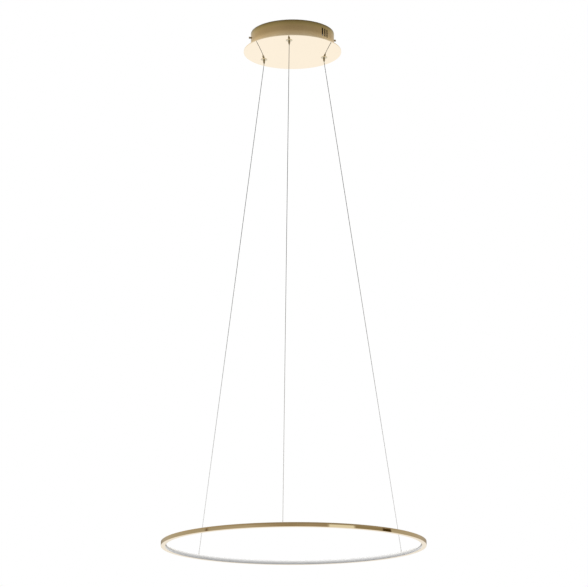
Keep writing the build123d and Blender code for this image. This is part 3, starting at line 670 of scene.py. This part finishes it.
def brushed(material, scale, relief, spread):
    """Adds brushed lines to a material: to its bump and its roughness."""
    tree = material.node_tree
    shader = tree.nodes["Principled BSDF"]
    grain = node(tree, "Group", {"Lines": scale}, node_tree=brushing)
    plain_normal = shader.inputs["Normal"].links[0].from_socket
    bump = node(tree, "Bump", {"Strength": relief, "Distance": brush_depth,
                               "Height": grain.outputs["Lines"], "Normal": plain_normal})
    tree.links.new(bump.outputs[0], shader.inputs["Normal"])
    plain_roughness = shader.inputs["Roughness"].links[0].from_socket
    rough = reckon(tree, "MULTIPLY_ADD", grain.outputs["Lines"], spread, plain_roughness,
                   clamp=True)
    tree.links.new(rough, shader.inputs["Roughness"])


wall_inside = drum_radius - drum_wall
rim_inside = wall_inside - rim_width
rim_top_z = disc_back_z + drum_wall
wall_section = rounded(
    [(drum_radius, 0), (drum_radius, disc_back_z), (rim_inside, disc_back_z),
     (rim_inside, rim_top_z), (wall_inside, rim_top_z), (wall_inside, 0)],
    np.array([0.9, 1.0, 0.1, 0.1, 0.3, 0.1]) * mm)
brushed_gold = finish("brushed_gold", (0.8, 0.64, 0.42), 0.24, metallic=1.0, tone=0.05, spread=0.05,
                      patch=18.0, grain=1200.0, relief=0.01)
brushed(brushed_gold, scale=2600.0, relief=0.12, spread=0.12)
# The drum's colour is painted light and shade by height: lighter towards the bottom, painted light,
# and darker towards the top, painted shade, ending in a near black painted shade line along the top
# edge.
by_height(brushed_gold, [
    (-57 * mm, (0.9, 0.79, 0.57)), (-54 * mm, (0.87, 0.753, 0.527)),
    (-47 * mm, (0.777, 0.638, 0.429)), (-39 * mm, (0.695, 0.54, 0.32)),
    (-31 * mm, (0.525, 0.395, 0.216)), (-21 * mm, (0.475, 0.355, 0.186)),
    (-16 * mm, (0.47, 0.355, 0.175)), (-9.6 * mm, (0.396, 0.312, 0.134)),
    (-3.4 * mm, (0.28, 0.217, 0.094)), (0, (0.1, 0.077, 0.034))])
# The wall's inner side and the slots' cut edges are painted near black and matt: painted shade,
# which makes the vents read dark. The outer side and the rim stay gold.
plated = brushed_gold.node_tree
shader = plated.nodes["Principled BSDF"]
spot = spot_on(plated)
level = node(plated, "CombineXYZ", {"X": spot["X"], "Y": spot["Y"]})
reach = node(plated, "VectorMath", {0: level.outputs[0]}, operation="LENGTH").outputs["Value"]
outer = stretch(plated, reach, outer_face_from, outer_face_whole)
rim = stretch(plated, spot["Z"], rim_from, rim_whole)
gilt = reckon(plated, "MAXIMUM", outer, rim)
gold = plated.nodes["Group"].outputs["Colour"]
plated.links.new(blend(plated, gilt, painted_inside_shade, gold), shader.inputs["Base Color"])
plated.links.new(gilt, shader.inputs["Metallic"])
matt = reckon(plated, "MULTIPLY_ADD", gilt, -inside_shade_roughness, inside_shade_roughness)
polish = shader.inputs["Roughness"].links[0].from_socket
plated.links.new(reckon(plated, "MAXIMUM", matt, polish), shader.inputs["Roughness"])
drum = piece("drum_wall", skin("drum_wall", [turned(wall_section, 360)], along=True), brushed_gold,
             "canopy", "brushed_gold", "canopy_drum")
slots = [slot_cutter(angle, drum_radius, cutter_reach) for angle in vent_angles]
cutter = bpy.data.objects.new("slot_cutter", skin("slot_cutter", slots, caps=True))
bpy.context.scene.collection.objects.link(cutter)
cut = drum.modifiers.new("vents", "BOOLEAN")
cut.object = cutter
cut.solver = "EXACT"
opened = worked_out(drum)
drum.modifiers.clear()
drum.data = opened
drum.data.set_sharp_from_angle(angle=crease_angle)
bpy.data.objects.remove(cutter)

# ---- side screws ---------------------------------------------------------------------------------
# Two turned and knurled brass thumb screws, dark gilt, with a dimple in the head. They go through
# the drum's wall into the bracket's ears, and hold the canopy up.
side_screw_z = -16 * mm
head_radius = 3 * mm
head_length = 6.5 * mm
head_seat = drum_radius + 0.05 * mm
dimple_radius = 2 * mm
dimple_floor = 1.6 * mm
dimple_depth = 1 * mm
side_shank = 10 * mm
side_shank_radius = 2 * mm
screw_core = 0.3 * mm
knurls = 18
knurl_depth = 0.16 * mm
knurled_from = 2.85 * mm  # the radius past which the head is knurled
points_per_knurl = 8


def thumb_screw(side):
    """A screw along X: its radius follows the outline, less a cosine ripple where it is knurled."""
    dimple_bottom = head_length - dimple_depth
    outline = rounded(
        [(screw_core, dimple_bottom), (dimple_floor, dimple_bottom), (dimple_radius, head_length),
         (head_radius, head_length), (head_radius, 0), (side_shank_radius, 0),
         (side_shank_radius, -side_shank), (screw_core, -side_shank)],
        np.array([0, 0.1, 0.2, 0.6, 0.3, 0.05, 0.4, 0]) * mm, closed=False, steps=4)
    radius, along = outline.T[..., None]
    a = np.linspace(0, 2 * pi, knurls * points_per_knurl, endpoint=False)[None, :]
    ripple = np.where(radius > knurled_from, knurl_depth * (1 - np.cos(knurls * a)) / 2, 0)
    rippled = radius - ripple
    x = side * (head_seat + along + 0 * a)
    return np.stack([x, rippled * np.cos(a), side_screw_z + rippled * np.sin(a)], -1)


piece("thumb_screws", skin("thumb_screws", [thumb_screw(1), thumb_screw(-1)], caps=True), dark_gold,
      "canopy", "dark_gold_screw", "side_screws")

# ---- canopy disc ---------------------------------------------------------------------------------
# A 3 mm steel disc, polished to a mirror and gold plated. It carries the drum, the driver and the
# three cable grippers, and its reflections show that the sheet is bent a little across X.
disc_radius = 151 * mm
disc_edge = 0.5 * mm
disc_flat = disc_radius - 6 * mm
disc_bend = 0.7  # per metre: the face stands off a plane by this times the square of X

disc_outline = rounded([(disc_flat, disc_back_z), (disc_radius, disc_back_z),
                        (disc_radius, disc_face_z), (disc_flat, disc_face_z)],
                       [0, disc_edge, disc_edge, 0], closed=False)
mirror_gold = finish("mirror_gold", (0.98, 0.85, 0.66), 0.03, metallic=1.0, tone=0.02, spread=0.02,
                     patch=12.0, grain=120.0, relief=0.002)
mirror = mirror_gold.node_tree
shader = mirror.nodes["Principled BSDF"]
spot = spot_on(mirror)
plain_normal = shader.inputs["Normal"].links[0].from_socket
bent = node(mirror, "Bump", {"Strength": 1.0, "Distance": disc_bend, "Normal": plain_normal,
                             "Height": reckon(mirror, "MULTIPLY", spot["X"], spot["X"])})
mirror.links.new(bent.outputs[0], shader.inputs["Normal"])
mesh = skin("mirror_disc", [turned(disc_outline, 360).swapaxes(0, 1)], caps=True)
piece("mirror_disc", mesh, mirror_gold, "canopy", "mirror_gold", "canopy_disc")

# ---- disc studs and nuts -------------------------------------------------------------------------
# Steel studs are welded to the disc's back, and zinc plated nuts on them hold the drum's rim, the
# driver's lugs and the earth tag.
drum_stud_circle = 122.8 * mm
driver_stud_x = 70 * mm
earth_stud = (88 * mm, -34 * mm)
lug_thickness = 2 * mm
tag_thickness = 0.8 * mm
stud_radius = 2 * mm
stud_nut_flats = 7 * mm
stud_nut_height = 3.2 * mm

nut_seats = [(*polar(drum_stud_circle, 45 + 90 * n, 0)[:2], drum_wall) for n in range(4)]
nut_seats += [(driver_stud_x, 0, lug_thickness), (-driver_stud_x, 0, lug_thickness),
              (*earth_stud, tag_thickness)]
nuts = [hexagon_nut(stud_nut_flats, stud_radius + thread_gap, disc_back_z + seat,
                    disc_back_z + seat + stud_nut_height, x, y) for x, y, seat in nut_seats]
piece("stud_nuts", skin("stud_nuts", nuts, along=True), zinc_steel, "canopy", "zinc_steel",
      "disc_nuts")
dress(zinc_steel, "disc_studs")

# ---- cable grippers ------------------------------------------------------------------------------
# Turned brass, gold plated: a shank through the disc with a nut on its back, a thin flange against
# the disc's face, and a nose with the release plunger in it. A cap closes the chamber at the top.
shank_radius = 5 * mm
shank_top_z = -38 * mm
gripper_flange_radius = 10 * mm
gripper_flange = 1.2 * mm
nose_radius = 3.1 * mm
nose_end_z = -70 * mm
plunger_way = 2.05 * mm
chamber_radius = 3.2 * mm
chamber_low_z = -46 * mm
cone_low_z = -55.5 * mm
gripper_nut_flats = 14 * mm
gripper_nut_height = 5 * mm

gripper_brass = finish("gripper_brass", (0.3, 0.25, 0.13), 0.2, metallic=1.0, tone=0.1, patch=120.0,
                       grain=1500.0)
by_height(gripper_brass, [(-62 * mm, (0.2, 0.165, 0.085)), (-61.3 * mm, (0.64, 0.57, 0.42))])
flange_face_z = disc_face_z - gripper_flange
gripper_section = rounded(
    [(shank_radius, shank_top_z), (shank_radius, disc_face_z), (gripper_flange_radius, disc_face_z),
     (gripper_flange_radius, flange_face_z), (nose_radius, flange_face_z),
     (nose_radius, nose_end_z), (plunger_way, nose_end_z), (plunger_way, cone_low_z),
     (chamber_radius, chamber_low_z), (chamber_radius, shank_top_z)],
    np.array([0.3, 0.1, 0.1, 0.45, 0.3, 0.5, 0.1, 0.5, 0.5, 0.2]) * mm, steps=4)
gripper_spots = [polar(gripper_circle, a, 0)[:2] for a in gripper_angles]
bodies = [turned(gripper_section, 64, x=x, y=y) for x, y in gripper_spots]
piece("gripper_shells", skin("gripper_shells", bodies, along=True), gripper_brass, "canopy",
      "gripper_brass", "gripper_bodies")
nuts = [hexagon_nut(gripper_nut_flats, shank_radius + thread_gap, disc_back_z,
                    disc_back_z + gripper_nut_height, x, y) for x, y in gripper_spots]
piece("gripper_hexagons", skin("gripper_hexagons", nuts, along=True), gripper_brass, "canopy",
      "gripper_brass", "gripper_nuts")
dress(gripper_brass, "gripper_caps")

# ---- release plungers, balls and springs ---------------------------------------------------------
# Pushing a plunger up lifts three hard steel balls out of the cone, which frees the cable. A fine
# coil spring between the plunger and the cap pushes it down again.
plunger_radius = 2 * mm
plunger_tip_radius = 1.45 * mm
plunger_taper = 3 * mm
plunger_bore = 0.95 * mm
plunger_top_z = -50.3 * mm
spring_wire = 0.4 * mm
spring_radius = 1.6 * mm
spring_turns = 6
steps_per_turn = 24
wire_sides = 10
spring_low_z = plunger_top_z + 0.05 * mm
spring_high_z = -41.05 * mm

plunger_section = rounded(
    [(plunger_radius, plunger_top_z), (plunger_radius, plunger_tip_z + plunger_taper),
     (plunger_tip_radius, plunger_tip_z), (plunger_bore, plunger_tip_z),
     (plunger_bore, plunger_top_z)],
    np.array([0.2, 0.6, 0.2, 0.1, 0.1]) * mm, steps=4)


def coil(x, y):
    """Points of a wire wound on an upright helix: its middle at angle a is (radius cos a,
    radius sin a, a times the pitch over a turn), and its section lies in the plane of the radius
    and the axis."""
    low, high = spring_low_z + spring_wire / 2, spring_high_z - spring_wire / 2
    a = np.linspace(0, 2 * pi * spring_turns, steps_per_turn * spring_turns + 1)[:, None]
    b = np.linspace(0, 2 * pi, wire_sides, endpoint=False)[None, :]
    radius = spring_radius + spring_wire / 2 * np.cos(b)
    z = low + (high - low) * a / a[-1] + spring_wire / 2 * np.sin(b)
    return np.stack([x + radius * np.cos(a), y + radius * np.sin(a), z], -1)


spring_steel = finish("spring_steel", (0.5, 0.5, 0.5), 0.25, metallic=1.0, patch=300.0)
dress(spring_steel, "gripper_balls_1", "gripper_balls_2", "gripper_balls_3")
for number, (x, y) in enumerate(gripper_spots, 1):
    mesh = skin("plunger", [turned(plunger_section, 48, x=x, y=y)], along=True)
    piece(f"plunger_barrel_{number}", mesh, gripper_brass, f"plunger_{number}", "gripper_brass",
          f"release_plunger_{number}")
    spring = piece(f"coil_spring_{number}", skin("coil_spring", [coil(x, y)], caps=True),
                   spring_steel, "canopy", "spring_steel", f"gripper_spring_{number}")
    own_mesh(spring)

# ---- upper cable ends ----------------------------------------------------------------------------
# The same steel rope runs up through each gripper and stands out of its cap, with a tinned copper
# sleeve crimped on its end.
rope_end_z = -30.2 * mm

ends = [rope(np.array([x, y, plunger_tip_z]), np.array([x, y, rope_end_z]), cable_diameter)
        for x, y in gripper_spots]
piece("rope_ends", skin("rope_ends", ends, caps=True), cable_steel, "canopy", "cable_steel",
      "cable_ends")
dress(tinned_copper, "cable_end_sleeves")

# ---- ceiling bracket -----------------------------------------------------------------------------
# A pressed and zinc plated steel bar, screwed to the ceiling through two slots. Its two ears are
# bent down and tapped for the drum's side screws.
dress(zinc_steel, "ceiling_bracket")

# ---- driver --------------------------------------------------------------------------------------
# A white moulded box in two halves that snap together over the circuit board. Two lugs under nuts
# hold it to the disc's back.
driver_length = 130 * mm
driver_width = 42 * mm
driver_split_z = disc_back_z + 6 * mm
driver_top_z = driver_split_z + 18 * mm
lid_gap = 0.2 * mm
corner_radius = 3.5 * mm
edge_radius = 1.2 * mm


def rounded_box(length, width, low, high, corner, edge):
    """Rows up a box with round corners. A row is a round-cornered rectangle, drawn in at the top by
    edge (1 - cos t) while it rises by edge sin t, with t from 0 to a quarter turn."""
    t = np.linspace(0, pi / 2, 5)
    inset = np.concatenate([[0.0, 0.0], edge * (1 - np.cos(t)), [edge + 1 * mm]])
    rise = np.concatenate([[low, high - edge - 0.3 * mm], high - edge + edge * np.sin(t), [high]])
    a = np.linspace(0, 2 * pi, 64, endpoint=False)
    turn_x, turn_y = np.sign(np.cos(a + 1e-6)), np.sign(np.sin(a + 1e-6))
    arc = np.maximum(corner - inset, 0.2 * mm)[:, None]
    drawn_in = np.minimum(corner - inset, 0)[:, None]
    x = turn_x * (length / 2 - corner) + np.cos(a) * arc + turn_x * drawn_in
    y = turn_y * (width / 2 - corner) + np.sin(a) * arc + turn_y * drawn_in
    return np.stack([x, y, np.broadcast_to(rise[:, None], x.shape)], -1)


driver_white = finish("driver_white", (0.82, 0.81, 0.78), 0.5, tone=0.06, spread=0.15, grain=1800.0,
                      relief=0.1)
lid = rounded_box(driver_length, driver_width, driver_split_z + lid_gap, driver_top_z,
                  corner_radius, edge_radius)
mesh = skin("driver_lid", [lid], caps=True)
piece("driver_lid", mesh, driver_white, "canopy", "driver_white", "driver_cover")
dress(driver_white, "driver_base")
dress(finish("board_green", (0.03, 0.16, 0.07), 0.35, tone=0.5, patch=250.0), "driver_board")
dress(finish("component_dark", (0.05, 0.05, 0.055), 0.45, tone=0.4, patch=80.0),
      "driver_components")

# ---- terminal block and earth tag ----------------------------------------------------------------
# A moulded nylon block with three poles and steel clamp screws, screwed under the bracket. A tinned
# copper ring tag is held by a nut on the earth stud.
dress(finish("block_nylon", (0.75, 0.74, 0.7), 0.5, tone=0.05, relief=0.1), "terminal_block")
dress(zinc_steel, "terminal_clamp_screws", "terminal_block_screw")
dress(tinned_copper, "earth_tag")

# ---- leads in the canopy -------------------------------------------------------------------------
# Single-core leads in coloured silicone: three from the terminal block, and two from the driver's
# far end over the canopy down onto the ends of the two cables that feed the ring.
lead_radius = 1 * mm
lead_crease = radians(50)
block_x = 86.035
lead_routes = {
    "live_lead": ("lead_brown", (0.2, 0.09, 0.04), [
        (block_x, -9, -18), (86, -9, -29), (82, -9, -40), (74, -9, -45), (65, -9, -45)]),
    "neutral_lead": ("lead_blue", (0.04, 0.16, 0.5), [
        (block_x, 9, -18), (86, 9, -29), (82, 9, -40), (74, 9, -45), (65, 9, -45)]),
    "earth_lead": ("lead_green", (0.12, 0.4, 0.1), [
        (block_x, 0, -18), (86, 0, -28), (86.4, -3, -39), (87.4, -10, -49), (88, -17.5, -55.3),
        (88, -24, -55.3)]),
    "positive_feed_lead": ("lead_red", (0.5, 0.04, 0.03), [
        (-65, -6, -45), (-80, -6, -45), (-91, -20, -42), (-92, -40, -37), (-82, -59, -31),
        (-67, -75, -25), (-50, -88, -19), (-37, -96.5, -12.5), (-28, -102.5, -9.5),
        (-21.055, -106.336, -15), (-21.055, -106.336, -30)]),
    "negative_feed_lead": ("lead_black", (0.02, 0.02, 0.022), [
        (-65, 6, -45), (-80, 6, -45), (-92, 20, -40), (-95, 38, -30), (-92, 54, -18),
        (-86, 64.5, -10.5), (-81.563, 71.402, -15), (-81.563, 71.402, -30)]),
}


def lead_mesh(name, points):
    """A round tube along a smooth spline through a list of points, in millimetres."""
    line = bpy.data.curves.new(name, "CURVE")
    line.dimensions = "3D"
    spline = line.splines.new("NURBS")
    spline.points.add(len(points) - 1)
    spline.points.foreach_set("co", (np.array([(*p, 1 / mm) for p in points]) * mm).ravel())
    spline.order_u = 3
    spline.use_endpoint_u = True
    spline.resolution_u = 12
    line.bevel_depth = lead_radius
    line.bevel_resolution = 4
    line.use_fill_caps = True
    drawn = bpy.data.objects.new(name, line)
    bpy.context.scene.collection.objects.link(drawn)
    mesh = worked_out(drawn)
    bpy.data.objects.remove(drawn)
    mesh.shade_smooth()
    mesh.set_sharp_from_angle(angle=lead_crease)
    return mesh


for name, (slot, colour, points) in lead_routes.items():
    silicone = finish(slot, colour, 0.4, tone=0.1, patch=100.0, relief=0.02)
    mesh = lead_mesh("lead", points)
    mesh.materials.clear()
    piece(name.replace("lead", "wire"), mesh, silicone, "canopy", slot, name)
